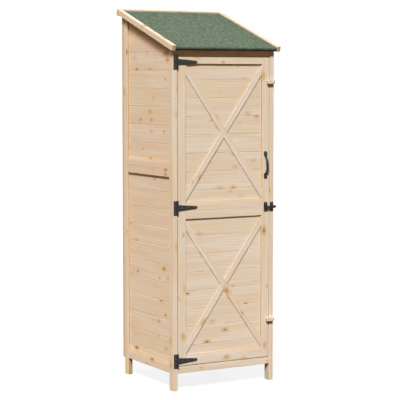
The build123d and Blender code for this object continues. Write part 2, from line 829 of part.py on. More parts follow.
bolt_start = keeper_x - loop_width / 2 + bolt_end_inset
guide_right = post_mid_x + loop_width / 2
knob_x = guide_right + bolt_knob_gap + bolt_knob_radius
bolt_finish = knob_x - bolt_knob_radius + bolt_neck_bite
bolt_middle = ((bolt_start + bolt_finish) / 2, bolt_y, bolt_z)
head_middle = (bolt_start + bolt_head_length / 2, bolt_y, bolt_z)
with BuildPart() as bolt_rod:
    rods([bolt_middle], bolt_radius, bolt_finish - bolt_start, ALONG_X, Mode.ADD)
    rods([head_middle], bolt_head_radius, bolt_head_length, ALONG_X, Mode.ADD)
    chamfer(bolt_rod.edges().sort_by(Axis.X)[0], edge_ease)
    with Locations((knob_x, bolt_y, bolt_z)):
        Sphere(bolt_knob_radius)
save(bolt_rod, "bolt_rod")

# Turn buttons on the latch-side post, one above and one below
button_x = post_mid_x + turn_button_heel - turn_button_length / 2
button_y = (front_y - turn_button_gap - turn_button_thickness, front_y - turn_button_gap)
for place, height in turn_button_heights.items():
    with BuildPart() as turn_button:
        with BuildSketch(front_plane.offset(turn_button_gap)):
            with Locations((button_x, height)):
                RectangleRounded(turn_button_length, turn_button_height, 3 * edge_ease)
        extrude(amount=turn_button_thickness)
        chamfer(turn_button.faces().sort_by(Axis.Y)[0].edges(), edge_ease)
        rods(pivots, pivot_radius + screw_clearance, 4 * pivot_depth, ALONG_Y)
    save(turn_button, f"{place}_turn_button")

# Screws, grouped by what they hold
pivot_seat = turn_button_gap + turn_button_thickness + knuckle_gap
pivot_screw = screw(pivot_seat, pivot_head_radius, pivot_head_height, pivot_radius, pivot_seat + pivot_depth)
with BuildPart() as turn_button_screws:
    with Locations(*pivots):
        add(pivot_screw)
save(turn_button_screws, "turn_button_screws")

sheet_screw = screw(leaf_thickness, screw_head_radius, screw_head_height, screw_radius, screw_length)
handle_screw = screw(handle_foot_thickness, screw_head_radius, screw_head_height, screw_radius, screw_length)
with BuildPart() as post_screws:
    with Locations(*(plate_screws + guide_screws)):
        add(sheet_screw)
save(post_screws, "post_screws")

with BuildPart() as door_screws:
    with Locations(*(strap_screws + keeper_screws)):
        add(sheet_screw)
    with Locations(*handle_screws):
        add(handle_screw)
save(door_screws, "door_screws")
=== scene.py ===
"""Looks of a tall garden cabinet: bare planed pine, green roofing felt and black hardware on a white stage.

The cabinet's solids come from the packed frame and keep their shape and place. This file gives them their
finishes, and sets the floor, the lights and the camera.
"""

from math import acos, atan2, cos, hypot, pi, radians, sin

import bpy
import numpy as np
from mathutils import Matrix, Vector


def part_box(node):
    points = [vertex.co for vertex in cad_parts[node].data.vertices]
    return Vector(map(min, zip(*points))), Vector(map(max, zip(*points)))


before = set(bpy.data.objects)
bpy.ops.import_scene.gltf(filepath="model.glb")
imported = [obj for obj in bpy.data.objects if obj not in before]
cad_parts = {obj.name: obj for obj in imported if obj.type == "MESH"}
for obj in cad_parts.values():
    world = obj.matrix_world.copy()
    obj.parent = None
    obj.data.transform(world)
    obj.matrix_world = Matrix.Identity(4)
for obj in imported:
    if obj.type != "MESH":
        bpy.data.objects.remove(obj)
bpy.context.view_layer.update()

bl_info = {
    "name": "Garden cabinet looks",
    "version": (1, 0, 0),
    "blender": (4, 5, 0),
    "location": "3D View > Sidebar > Cabinet",
    "description": "Pine, felt and hardware finishes for a tall garden cabinet, with its stage",
    "category": "Object",
}

MM = 0.001
IMAGE_WIDTH = 400               # pixels, the frame is square
SENSOR_WIDTH = 36.0             # millimetres

# How the boards are laid, in millimetres
BOARD_COVER = 86.0              # face width of a wall board
WALL_STARTER = 26.0             # ripped boards either side of a wall's meeting line
DOOR_UPPER_STARTER = 93.0
DOOR_LOWER_STARTER = 34.0
BRACE_WIDTH = 29.0
SHELF_BOARDS = 3
FLOOR_BOARDS = 5
ONE_PIECE = 1.0e5               # wider than anything, so the whole piece is one board

# Pine's patterns, in millimetres
TRUNK_REACH = 900.0             # how far apart in the trunk two boards may be cut
PITH_OFFSET = 70.0              # how far a board's middle may lie from the pith, to either side
RING_WANDER = 26.0              # how far the rings stray from true circles
WANDER_SIZE = 38.0              # size of those strays across the grain
KNOT_SWELL = 9.0                # how far a knot pushes the rings aside
SMALLEST_KNOT = 0.3             # as a share of the largest
FIBRE_WIDTH = 3.2               # wider than real fibres, so that they show
STREAK_WIDTH = 19.0
BAND_WIDTH = 30.0
GRAIN_RELIEF = 0.25

# How a pattern is squeezed along the grain, so that it comes out drawn out by the inverse
KNOT_SQUEEZE = (0.55, 1.0, 1.0)
RING_SQUEEZE = (0.035, 1.0, 1.0)
FIBRE_SQUEEZE = (0.012, 1.0, 1.0)
BAND_SQUEEZE = (0.06, 1.0, 1.0)

# Steps that keep the random numbers of pieces, and of boards above a middle line, apart
PIECE_STEP = 911.0
HALF_STEP = 37.0

# Largest share of the yellowish tint that a board takes
WARMTH = 0.4
PALE_WARMTH = 0.1               # the door's braces are paler than its boards

# Patterns of the felt and of the metal, in millimetres
FELT_PATCH = 18.0
GRIT_RELIEF = 0.8
PEEL_SIZE = 0.9
PEEL_RELIEF = 0.15
CHALK_PATCH = 14.0
ZINC_SPANGLE = 2.5

# Lamps: degrees round to the right from straight out of the door, and degrees above level
LAMPS = {
    "main_lamp": (-34, 44),
    "side_lamp": (-89.5, 55),
    "back_lamp": (142, 15),
}
FLOOR_REACH = 30.0              # metres from the middle to each edge
FLOOR_GLOW = 0.86               # share of the floor that looks white by itself, the rest takes the shadow

WHITE = (1.0, 1.0, 1.0, 1.0)

# Sockets of a colour Mix node
MIX_FACTOR, MIX_A, MIX_B, MIX_RESULT = 0, 6, 7, 2


def linear(hex_code):
    """Linear RGB of an sRGB hex colour: c / 12.92 below 0.04045, and ((c + 0.055) / 1.055) ** 2.4 above."""
    srgb = np.array([int(hex_code[i:i + 2], 16) for i in (1, 3, 5)]) / 255.0
    return tuple(np.where(srgb <= 0.04045, srgb / 12.92, ((srgb + 0.055) / 1.055) ** 2.4))


def colour(name, description, hex_code):
    """A colour setting with its default written as sRGB hex."""
    return bpy.props.FloatVectorProperty(
        name=name, description=description, default=linear(hex_code),
        size=3, subtype="COLOR", min=0.0, max=1.0
    )


def rgba(setting):
    """A colour setting as the four numbers that a colour socket takes."""
    return (*setting, 1.0)


class PineSettings(bpy.types.PropertyGroup):
    """Bare planed pine."""

    early_wood: colour("Early wood", "Pale wood grown in spring", "#F1E9DF")
    late_wood: colour("Late wood", "Darker line at the end of each ring", "#D9C19D")
    warm_board: colour("Warm board", "Yellowish boards and streaks", "#E6D2AE")
    pink_board: colour("Pink board", "Pinkish heartwood bands", "#EAD5C4")
    knot: colour("Knot", "Middle of a knot", "#7C4E26")
    knot_halo: colour("Knot halo", "Stained wood round a knot", "#D6AE78")
    end_grain: colour("End grain", "Sawn ends", "#C79E6E")
    # Painted shade for the narrow edges of proud pieces, darker because less light falls on them
    painted_edge_shade: colour("Painted edge shade", "Narrow edges left from the saw", "#B8986C")
    ring_spacing: bpy.props.FloatProperty(
        name="Ring spacing", default=9.0, min=1.0,
        description="Millimetres from ring to ring, drawn wider than real so that it shows"
    )
    knot_spacing: bpy.props.FloatProperty(
        name="Knot spacing", description="Millimetres between knots in the trunk", default=58.0, min=10.0
    )
    knot_radius: bpy.props.FloatProperty(
        name="Knot radius", description="Largest knot, in millimetres", default=7.0, min=0.5
    )
    roughness: bpy.props.FloatProperty(
        name="Roughness", description="Planed, unsealed wood",
        default=0.62, min=0.0, max=1.0, subtype="FACTOR"
    )


class FeltSettings(bpy.types.PropertyGroup):
    """Roofing felt: bitumen sheet coated with crushed slate."""

    grit: colour("Grit", "Green slate grit", "#58695A")
    dark_grit: colour("Dark grit", "Grit in the shade of its neighbours", "#33422F")
    pale_grit: colour("Pale grit", "Stray pale grains", "#8A9A89")
    # Bitumen also stands in as painted shade on the lower part of the turned-down edge
    bitumen: colour("Bitumen", "Bare edge of the sheet", "#1E1C17")
    grit_size: bpy.props.FloatProperty(
        name="Grit size", description="Millimetres, drawn coarser than real so that it shows",
        default=7.0, min=0.2
    )
    # Height of the black edge strip: bare bitumen, and painted shade
    selvedge: bpy.props.FloatProperty(
        name="Selvedge", description="Millimetres of bare bitumen along the turned-down edge",
        default=7.3, min=0.0
    )


class HardwareSettings(bpy.types.PropertyGroup):
    """Powder-coated steel and zinc plate."""

    coat: colour("Coat", "Charcoal powder coat", "#232323")
    worn: colour("Worn coat", "Slightly chalky patches", "#30302E")
    # Paler screw heads: a rubbed coat, and a painted highlight on each head
    screw_head_and_glint: colour("Screw heads", "Coat rubbed paler on the black screws", "#50504D")
    roughness: bpy.props.FloatProperty(
        name="Roughness", description="Satin powder coat", default=0.48, min=0.0, max=1.0, subtype="FACTOR"
    )
    zinc: colour("Zinc", "Bright plating on the turn buttons' screws", "#C9C4B4")
    dull_zinc: colour("Dull zinc", "Plating that has started to dull", "#A39C8A")


class StageSettings(bpy.types.PropertyGroup):
    """Floor, lights and camera."""

    camera_place: bpy.props.FloatVectorProperty(
        name="Camera place", description="Standing to the left of the door", size=3,
        default=(-3.5446, -6.1699, 1.4586), subtype="TRANSLATION", unit="LENGTH"
    )
    camera_turn: bpy.props.FloatProperty(
        name="Camera turn", description="To the right of straight ahead",
        default=radians(29.97), subtype="ANGLE"
    )
    camera_dip: bpy.props.FloatProperty(
        name="Camera dip", description="Below level", default=radians(4.74), subtype="ANGLE"
    )
    focal_pixels: bpy.props.FloatProperty(
        name="Focal length", description="In pixels of the picture", default=1467.6, min=100.0
    )
    main_strength: bpy.props.FloatProperty(
        name="Main strength", description="High lamp to the left of the door", default=4.02, min=0.0
    )
    side_strength: bpy.props.FloatProperty(
        name="Side strength", description="High lamp straight to the left of the cabinet",
        default=1.06, min=0.0
    )
    side_tone: colour("Side tone", "Slightly warm side lamp", "#FFDDB8")
    back_strength: bpy.props.FloatProperty(
        name="Back strength", description="Low lamp behind the cabinet, for its back and right side",
        default=2.2, min=0.0
    )
    lamp_spread: bpy.props.FloatProperty(
        name="Lamp spread", description="Width of each lamp in the sky", default=radians(12), subtype="ANGLE"
    )
    fill: bpy.props.FloatProperty(
        name="Fill", description="Even light from all round", default=0.1, min=0.0
    )
    fill_tone: colour("Fill tone", "Warm, as thrown back by more wood", "#FFD0A4")
    floor: colour("Floor", "What the floor throws back on to the cabinet", "#5E4B38")


SETTINGS = {
    "cabinet_pine": PineSettings,
    "cabinet_felt": FeltSettings,
    "cabinet_hardware": HardwareSettings,
    "cabinet_stage": StageSettings,
}


def add_node(tree, kind, inputs=None, **settings):
    """Add one node, set its own settings, and give each input a value or a link from a socket."""
    node = tree.nodes.new("ShaderNode" + kind)
    for name, value in settings.items():
        setattr(node, name, value)
    for key, value in (inputs or {}).items():
        if isinstance(value, bpy.types.NodeSocket):
            tree.links.new(value, node.inputs[key])
        else:
            node.inputs[key].default_value = value
    return node


def new_material(name):
    """An empty node material with its Principled shader wired to the output."""
    material = bpy.data.materials.new(name)
    material.use_nodes = True
    tree = material.node_tree
    tree.nodes.clear()
    shader = add_node(tree, "BsdfPrincipled")
    add_node(tree, "OutputMaterial", {"Surface": shader.outputs["BSDF"]})
    return material, tree, shader


def place_on_piece(tree):
    """The Texture Coordinate node, and the socket of the place on the piece in millimetres."""
    place = add_node(tree, "TexCoord")
    scaled = add_node(tree, "VectorMath", {0: place.outputs["Object"], "Scale": 1 / MM}, operation="SCALE")
    return place, scaled.outputs[0]


def slope_of(node, run_axis):
    """Angle of a sloping piece, from the run and rise of its box."""
    low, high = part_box(node)
    return atan2(high.z - low.z, high[run_axis] - low[run_axis])


def brace_slope(node):
    """Slope of a brace of width w, cut upright at both ends of a box W by H.

    The slope is acos(w / hypot(W, H)) - atan2(W, H).
    """
    low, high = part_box(node)
    width, height = high.x - low.x, high.z - low.z
    return acos(BRACE_WIDTH * MM / hypot(width, height)) - atan2(width, height)


# Turns that bring a piece's grain to X: along the width, the depth, the height, or up the roof's slope
ROOF_SLOPE = slope_of("roof_deck", 1)
GRAIN_TURNS = {
    "width": (0.0, 0.0, 0.0),
    "depth": (0.0, 0.0, -pi / 2),
    "height": (0.0, pi / 2, 0.0),
    "slope": (-ROOF_SLOPE, 0.0, -pi / 2),
}


def pine(name, turn, board_axis="Z", middle=0.0, joint_below=0.0, joint_above=0.0, cover=ONE_PIECE,
         warmth=WARMTH, face_axis=None):
    """Bare planed pine with its grain turned to X.

    Flat-sawn pine shows pale early wood with darker ring lines that run with the grain and bend round small
    brown knots. Each board is cut from another place in the trunk: its number is
    floor((place - joint) / cover) along the board axis, counted from a joint below or above the piece's
    middle line, and it moves the pattern. Rings are circles of radius sqrt(across^2 + depth^2) round a pith
    behind the face. A piece with a face axis has planed faces across that axis, and its narrow edges are
    darkened as painted shade, where less light falls.
    """
    look = bpy.context.scene.cabinet_pine
    material, tree, shader = new_material(name)
    place, millimetres = place_on_piece(tree)
    axes = add_node(tree, "SeparateXYZ", {0: millimetres})

    # Which board this is
    above = add_node(tree, "Math", {0: axes.outputs[board_axis], 1: middle}, operation="GREATER_THAN")
    joint = add_node(
        tree, "Math",
        {0: above.outputs[0], 1: joint_above - joint_below, 2: joint_below}, operation="MULTIPLY_ADD"
    )
    rise = add_node(tree, "Math", {0: axes.outputs[board_axis], 1: joint.outputs[0]}, operation="SUBTRACT")
    count = add_node(tree, "Math", {0: rise.outputs[0], 1: 1 / cover}, operation="MULTIPLY")
    number = add_node(tree, "Math", {0: count.outputs[0]}, operation="FLOOR")
    half = add_node(
        tree, "Math", {0: above.outputs[0], 1: HALF_STEP, 2: number.outputs[0]}, operation="MULTIPLY_ADD"
    )
    piece = add_node(tree, "ObjectInfo")
    seed = add_node(
        tree, "Math",
        {0: piece.outputs["Random"], 1: PIECE_STEP, 2: half.outputs[0]}, operation="MULTIPLY_ADD"
    )
    chance = add_node(tree, "TexWhiteNoise", {"W": seed.outputs[0]}, noise_dimensions="1D")
    chances = add_node(tree, "SeparateColor", {0: chance.outputs["Color"]})
    trunk = add_node(
        tree, "VectorMath", {0: chance.outputs["Color"], "Scale": TRUNK_REACH}, operation="SCALE"
    )

    # Grain space: X along the grain, in millimetres
    turned = add_node(tree, "Mapping", {"Vector": millimetres, "Rotation": turn})
    cut = add_node(tree, "VectorMath", {0: turned.outputs[0], 1: trunk.outputs[0]}, operation="ADD")

    # Knots: balls scattered in the trunk, drawn out along the grain
    drawn_out = add_node(tree, "VectorMath", {0: cut.outputs[0], 1: KNOT_SQUEEZE}, operation="MULTIPLY")
    branch = add_node(
        tree, "TexVoronoi",
        {"Vector": drawn_out.outputs[0], "Scale": 1 / look.knot_spacing, "Randomness": 0.9},
        voronoi_dimensions="3D", feature="F1"
    )
    away = add_node(tree, "Math", {0: branch.outputs["Distance"], 1: look.knot_spacing}, operation="MULTIPLY")
    sizes = add_node(tree, "SeparateColor", {0: branch.outputs["Color"]})
    radius = add_node(
        tree, "MapRange",
        {"Value": sizes.outputs[0], "To Min": SMALLEST_KNOT * look.knot_radius, "To Max": look.knot_radius}
    )
    darkness = add_node(tree, "MapRange", {"Value": sizes.outputs[1], "To Min": 0.3, "To Max": 1.0})
    share = add_node(tree, "Math", {0: away.outputs[0], 1: radius.outputs[0]}, operation="DIVIDE")
    core = add_node(
        tree, "MapRange",
        {"Value": share.outputs[0], "From Min": 1.15, "From Max": 0.55, "To Max": darkness.outputs[0]},
        interpolation_type="SMOOTHSTEP"
    )
    halo = add_node(
        tree, "MapRange", {"Value": share.outputs[0], "From Min": 3.2, "From Max": 0.8, "To Max": 0.8},
        interpolation_type="SMOOTHSTEP"
    )

    # Rings round the pith, wandering along the grain and swelling round the knots
    stretched = add_node(tree, "VectorMath", {0: cut.outputs[0], 1: RING_SQUEEZE}, operation="MULTIPLY")
    wander = add_node(
        tree, "TexNoise",
        {"Vector": stretched.outputs[0], "Scale": 1 / WANDER_SIZE, "Detail": 3.0, "Roughness": 0.55}
    )
    swell = add_node(tree, "Math", {0: halo.outputs[0], 1: KNOT_SWELL}, operation="MULTIPLY")
    bend = add_node(
        tree, "Math",
        {0: wander.outputs["Fac"], 1: RING_WANDER, 2: swell.outputs[0]}, operation="MULTIPLY_ADD"
    )
    ring_space = add_node(tree, "SeparateXYZ", {0: turned.outputs[0]})
    pith_side = add_node(
        tree, "MapRange", {"Value": chances.outputs[0], "To Min": -PITH_OFFSET, "To Max": PITH_OFFSET}
    )
    across = add_node(tree, "Math", {0: ring_space.outputs["Y"], 1: pith_side.outputs[0]}, operation="ADD")
    deep = add_node(tree, "Math", {0: ring_space.outputs["Z"], 1: trunk.outputs[0]}, operation="ADD")
    from_pith = add_node(tree, "CombineXYZ", {"X": 0.0, "Y": across.outputs[0], "Z": deep.outputs[0]})
    ring_radius = add_node(tree, "VectorMath", {0: from_pith.outputs[0]}, operation="LENGTH")
    wandering = add_node(tree, "Math", {0: ring_radius.outputs["Value"], 1: bend.outputs[0]}, operation="ADD")
    ring_count = add_node(
        tree, "Math", {0: wandering.outputs[0], 1: 1 / look.ring_spacing}, operation="MULTIPLY"
    )
    within = add_node(tree, "Math", {0: ring_count.outputs[0]}, operation="FRACT")
    late = add_node(
        tree, "MapRange", {"Value": within.outputs[0], "From Min": 0.35, "From Max": 1.0},
        interpolation_type="SMOOTHSTEP"
    )

    # Fine fibres, and how much they and the rings darken the wood
    fibre_space = add_node(tree, "VectorMath", {0: cut.outputs[0], 1: FIBRE_SQUEEZE}, operation="MULTIPLY")
    fibre = add_node(
        tree, "TexNoise",
        {"Vector": fibre_space.outputs[0], "Scale": 1 / FIBRE_WIDTH, "Detail": 2.0, "Roughness": 0.6}
    )
    fibre_share = add_node(
        tree, "MapRange", {"Value": fibre.outputs["Fac"], "From Min": 0.3, "From Max": 0.7, "To Max": 0.35}
    )
    grain_share = add_node(
        tree, "Math", {0: late.outputs[0], 1: 0.45, 2: fibre_share.outputs[0]}, operation="MULTIPLY_ADD"
    )

    # Broad pinkish bands and yellowish streaks, and the tint of the whole board
    band_space = add_node(tree, "VectorMath", {0: cut.outputs[0], 1: BAND_SQUEEZE}, operation="MULTIPLY")
    band = add_node(
        tree, "TexNoise",
        {"Vector": band_space.outputs[0], "Scale": 1 / BAND_WIDTH, "Detail": 1.0, "Roughness": 0.4}
    )
    band_share = add_node(
        tree, "MapRange", {"Value": band.outputs["Fac"], "From Min": 0.45, "From Max": 0.62, "To Max": 0.8}
    )
    streak = add_node(
        tree, "TexNoise",
        {"Vector": band_space.outputs[0], "Scale": 1 / STREAK_WIDTH, "Detail": 2.0, "Roughness": 0.5}
    )
    streak_share = add_node(
        tree, "MapRange", {"Value": streak.outputs["Fac"], "From Min": 0.48, "From Max": 0.68, "To Max": 0.75}
    )
    tint = add_node(tree, "MapRange", {"Value": chances.outputs[1], "To Max": warmth})

    # Sawn ends face along the grain
    facing = add_node(
        tree, "Mapping", {"Vector": place.outputs["Normal"], "Rotation": turn}, vector_type="VECTOR"
    )
    facing_axes = add_node(tree, "SeparateXYZ", {0: facing.outputs[0]})
    sawn = add_node(tree, "Math", {0: facing_axes.outputs["X"]}, operation="ABSOLUTE")
    end_share = add_node(
        tree, "MapRange", {"Value": sawn.outputs[0], "From Min": 0.75, "From Max": 0.95, "To Max": 0.55}
    )

    # Colour: each layer over the one before, from the early wood up
    layers = [
        (band_share, look.pink_board),
        (tint, look.warm_board),
        (grain_share, look.late_wood),
        (streak_share, look.warm_board),
        (halo, look.knot_halo),
        (core, look.knot),
        (end_share, look.end_grain),
    ]
    # Painted shade: narrow edges across the face axis are darkened, as if less light falls on them
    if face_axis:
        normal_axes = add_node(tree, "SeparateXYZ", {0: place.outputs["Normal"]})
        faced = add_node(tree, "Math", {0: normal_axes.outputs[face_axis]}, operation="ABSOLUTE")
        painted_edge_shade_share = add_node(
            tree, "MapRange", {"Value": faced.outputs[0], "From Min": 0.7, "From Max": 0.4, "To Max": 0.9}
        )
        layers.append((painted_edge_shade_share, look.painted_edge_shade))
    wood = rgba(look.early_wood)
    for cover_share, shade in layers:
        layer = add_node(
            tree, "Mix",
            {MIX_FACTOR: cover_share.outputs[0], MIX_A: wood, MIX_B: rgba(shade)}, data_type="RGBA"
        )
        wood = layer.outputs[MIX_RESULT]

    rough = add_node(
        tree, "MapRange",
        {"Value": grain_share.outputs[0], "To Min": look.roughness + 0.06, "To Max": look.roughness - 0.08}
    )
    relief = add_node(
        tree, "Bump", {"Strength": 0.25, "Distance": GRAIN_RELIEF * MM, "Height": grain_share.outputs[0]}
    )
    tree.links.new(wood, shader.inputs["Base Color"])
    tree.links.new(rough.outputs[0], shader.inputs["Roughness"])
    tree.links.new(relief.outputs[0], shader.inputs["Normal"])
    shader.inputs["IOR"].default_value = 1.45
    shader.inputs["Specular IOR Level"].default_value = 0.22
    return material


def slate_grit():
    """Roofing felt: dull green slate grit on bitumen, mottled in patches, with a black edge strip that is
    partly bare bitumen and partly painted shade.
    """
    look = bpy.context.scene.cabinet_felt
    material, tree, shader = new_material("slate-grit roofing felt")
    millimetres = place_on_piece(tree)[1]
    grains = add_node(
        tree, "TexVoronoi", {"Vector": millimetres, "Scale": 1 / look.grit_size}, voronoi_dimensions="3D"
    )
    tone = add_node(tree, "SeparateColor", {0: grains.outputs["Color"]})
    patches = add_node(
        tree, "TexNoise", {"Vector": millimetres, "Scale": 1 / FELT_PATCH, "Detail": 3.0, "Roughness": 0.6}
    )
    patchy = add_node(
        tree, "MapRange", {"Value": patches.outputs["Fac"], "From Min": 0.35, "From Max": 0.65, "To Max": 1.0}
    )
    dark = add_node(tree, "MapRange", {"Value": tone.outputs[0], "To Min": -0.1, "To Max": 0.9})
    shaded = add_node(
        tree, "Math", {0: patchy.outputs[0], 1: dark.outputs[0]}, operation="MULTIPLY", use_clamp=True
    )
    stray = add_node(
        tree, "MapRange", {"Value": tone.outputs[1], "From Min": 0.72, "From Max": 1.0, "To Max": 0.55}
    )

    # The turned-down edge is black below a height: partly bare bitumen, partly painted shade.
    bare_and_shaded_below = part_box("roof_felt")[0].z / MM + look.selvedge
    axes = add_node(tree, "SeparateXYZ", {0: millimetres})
    bare = add_node(tree, "Math", {0: axes.outputs["Z"], 1: bare_and_shaded_below}, operation="LESS_THAN")

    # Colour: each layer over the one before, from the common grit up
    felt = rgba(look.grit)
    for cover_share, shade in ((shaded, look.dark_grit), (stray, look.pale_grit), (bare, look.bitumen)):
        layer = add_node(
            tree, "Mix",
            {MIX_FACTOR: cover_share.outputs[0], MIX_A: felt, MIX_B: rgba(shade)}, data_type="RGBA"
        )
        felt = layer.outputs[MIX_RESULT]
    relief = add_node(
        tree, "Bump", {"Strength": 0.55, "Distance": GRIT_RELIEF * MM, "Height": grains.outputs["Distance"]},
        invert=True
    )
    tree.links.new(felt, shader.inputs["Base Color"])
    tree.links.new(relief.outputs[0], shader.inputs["Normal"])
    shader.inputs["Roughness"].default_value = 0.92
    shader.inputs["Specular IOR Level"].default_value = 0.2
    return material


def powder_coat(name, base):
    """Powder-coated steel: satin charcoal with a fine orange-peel skin and faintly chalky patches."""
    look = bpy.context.scene.cabinet_hardware
    material, tree, shader = new_material(name)
    millimetres = place_on_piece(tree)[1]
    peel = add_node(
        tree, "TexNoise", {"Vector": millimetres, "Scale": 1 / PEEL_SIZE, "Detail": 2.0, "Roughness": 0.5}
    )
    chalk = add_node(
        tree, "TexNoise", {"Vector": millimetres, "Scale": 1 / CHALK_PATCH, "Detail": 4.0, "Roughness": 0.6}
    )
    chalky = add_node(
        tree, "MapRange", {"Value": chalk.outputs["Fac"], "From Min": 0.45, "From Max": 0.75, "To Max": 0.7}
    )
    coat = add_node(
        tree, "Mix",
        {MIX_FACTOR: chalky.outputs[0], MIX_A: rgba(base), MIX_B: rgba(look.worn)}, data_type="RGBA"
    )
    rough = add_node(
        tree, "MapRange",
        {"Value": chalk.outputs["Fac"], "To Min": look.roughness - 0.06, "To Max": look.roughness + 0.12}
    )
    relief = add_node(
        tree, "Bump", {"Strength": 0.12, "Distance": PEEL_RELIEF * MM, "Height": peel.outputs["Fac"]}
    )
    tree.links.new(coat.outputs[MIX_RESULT], shader.inputs["Base Color"])
    tree.links.new(rough.outputs[0], shader.inputs["Roughness"])
    tree.links.new(relief.outputs[0], shader.inputs["Normal"])
    shader.inputs["Specular IOR Level"].default_value = 0.36
    return material


def zinc_plate():
    """Bright zinc plate: pale metal with soft duller patches, neither mirror-like nor matt."""
    look = bpy.context.scene.cabinet_hardware
    material, tree, shader = new_material("bright zinc plate")
    millimetres = place_on_piece(tree)[1]
    spangle = add_node(
        tree, "TexNoise", {"Vector": millimetres, "Scale": 1 / ZINC_SPANGLE, "Detail": 2.0, "Roughness": 0.5}
    )
    plate = add_node(
        tree, "Mix",
        {MIX_FACTOR: spangle.outputs["Fac"], MIX_A: rgba(look.zinc), MIX_B: rgba(look.dull_zinc)},
        data_type="RGBA"
    )
    rough = add_node(tree, "MapRange", {"Value": spangle.outputs["Fac"], "To Min": 0.28, "To Max": 0.5})
    tree.links.new(plate.outputs[MIX_RESULT], shader.inputs["Base Color"])
    tree.links.new(rough.outputs[0], shader.inputs["Roughness"])
    shader.inputs["Metallic"].default_value = 1.0
    return material


def dress(material, *nodes):
    """Give CAD nodes one finish in place of every material they have."""
    for name in nodes:
        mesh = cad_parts[name].data
        mesh.materials.clear()
        mesh.materials.append(material)


class CABINET_OT_dress_sticks(bpy.types.Operator):
    """Pine on the posts, rails, battens, cleats and turn buttons"""

    bl_idname = "cabinet.dress_sticks"
    bl_label = "Posts, rails and battens"

    def execute(self, context):
        sides = ("left", "right")
        dress(
            pine("planed pine, front posts", GRAIN_TURNS["height"]),
            *(f"front_{side}_post" for side in sides),
        )
        # A face axis darkens a piece's narrow edges with painted shade
        dress(
            pine("planed pine, rear posts", GRAIN_TURNS["height"], face_axis="X"),
            *(f"rear_{side}_post" for side in sides),
        )
        dress(
            pine("planed pine, door stiles", GRAIN_TURNS["height"], face_axis="Y"),
            "door_hinge_stile", "door_latch_stile",
        )
        dress(
            pine("planed pine, door rails", GRAIN_TURNS["width"], face_axis="Y"),
            *(f"door_{place}_rail" for place in ("top", "upper_mid", "lower_mid", "bottom")),
        )
        dress(
            pine("planed pine, crosswise", GRAIN_TURNS["width"]),
            "front_sill", "header_rail", "door_stop", "front_floor_bearer", "back_bottom_rail",
            "back_top_rail", "rear_batten", "upper_turn_button", "lower_turn_button", "frame_dowels",
        )
        dress(
            pine("planed pine, front to back", GRAIN_TURNS["depth"], face_axis="X"),
            *(f"{side}_{place}_rail" for side in sides for place in ("bottom", "lower_mid", "upper_mid")),
            "shelf_cleats",
        )
        dress(
            pine("planed pine, up the roof", GRAIN_TURNS["slope"]),
            *(f"{side}_{piece}" for side in sides for piece in ("verge", "top_rail")),
        )
        return {"FINISHED"}


class CABINET_OT_dress_boards(bpy.types.Operator):
    """Pine on the wall, door, back, floor, shelf and roof boards, each board with its own grain"""

    bl_idname = "cabinet.dress_boards"
    bl_label = "Boards"

    def execute(self, context):
        wall_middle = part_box("left_upper_boards")[0].z / MM
        door_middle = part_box("door_upper_mid_rail")[0].z / MM
        back_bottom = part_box("back_boards")[0].z / MM
        floor_low, floor_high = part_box("floor_boards")
        shelf_low, shelf_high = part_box("lower_shelf")
        dress(
            pine("pine wall boards", GRAIN_TURNS["depth"], "Z", wall_middle, wall_middle - WALL_STARTER,
                 wall_middle + WALL_STARTER, BOARD_COVER),
            *(f"{side}_{place}_boards" for side in ("left", "right") for place in ("upper", "lower")),
        )
        dress(
            pine("pine door boards", GRAIN_TURNS["width"], "Z", door_middle, door_middle - DOOR_LOWER_STARTER,
                 door_middle + DOOR_UPPER_STARTER, BOARD_COVER),
            "door_boards",
        )
        dress(
            pine("pine back boards", GRAIN_TURNS["width"], "Z", 0.0, back_bottom, back_bottom, BOARD_COVER),
            "back_boards",
        )
        dress(
            pine("pine floor boards", GRAIN_TURNS["depth"], "X", 0.0, floor_low.x / MM, floor_low.x / MM,
                 (floor_high.x - floor_low.x) / MM / FLOOR_BOARDS),
            "floor_boards",
        )
        dress(
            pine("pine shelf boards", GRAIN_TURNS["width"], "Y", 0.0, shelf_low.y / MM, shelf_low.y / MM,
                 (shelf_high.y - shelf_low.y) / MM / SHELF_BOARDS),
            "lower_shelf", "upper_shelf",
        )
        dress(pine("pine roof boards", GRAIN_TURNS["width"], "Y", 0.0, 0.0, 0.0, BOARD_COVER), "roof_deck")
        return {"FINISHED"}


class CABINET_OT_dress_braces(bpy.types.Operator):
    """Pine on the door's crossed braces, with the grain along each brace"""

    bl_idname = "cabinet.dress_braces"
    bl_label = "Door braces"

    def execute(self, context):
        for place in ("upper", "lower"):
            for name, sense in (("falling", -1), ("rising", 1)):
                node = f"{place}_{name}_brace"
                turn = (0.0, sense * brace_slope(node), 0.0)
                finish = f"planed pine, {place} {name} brace"
                # Each brace's narrow edges get painted shade through the face axis
                dress(pine(finish, turn, warmth=PALE_WARMTH, face_axis="Y"), node)
        return {"FINISHED"}


class CABINET_OT_lay_felt(bpy.types.Operator):
    """Slate grit on the roofing felt, and a black edge strip that is partly bare bitumen and partly painted
    shade
    """

    bl_idname = "cabinet.lay_felt"
    bl_label = "Roofing felt"

    def execute(self, context):
        dress(slate_grit(), "roof_felt")
        return {"FINISHED"}


class CABINET_OT_dress_hardware(bpy.types.Operator):
    """Powder coat on the hinges, handle, bolt and their screws, zinc on the turn buttons' screws"""

    bl_idname = "cabinet.dress_hardware"
    bl_label = "Hinges, handle, bolt and screws"

    def execute(self, context):
        look = context.scene.cabinet_hardware
        places = ("upper", "middle", "lower")
        dress(
            powder_coat("charcoal powder coat", look.coat),
            *(f"{place}_hinge_{leaf}" for place in places for leaf in ("plate", "strap")),
            "hinge_pins", "pull_handle", "bolt_guide", "bolt_keeper", "bolt_rod",
        )
        dress(
            # The screw heads' paler colour is partly rubbed coat, partly a painted highlight
            powder_coat("powder coat rubbed paler, with painted glint", look.screw_head_and_glint),
            "post_screws", "door_screws",
        )
        dress(zinc_plate(), "turn_button_screws")
        return {"FINISHED"}


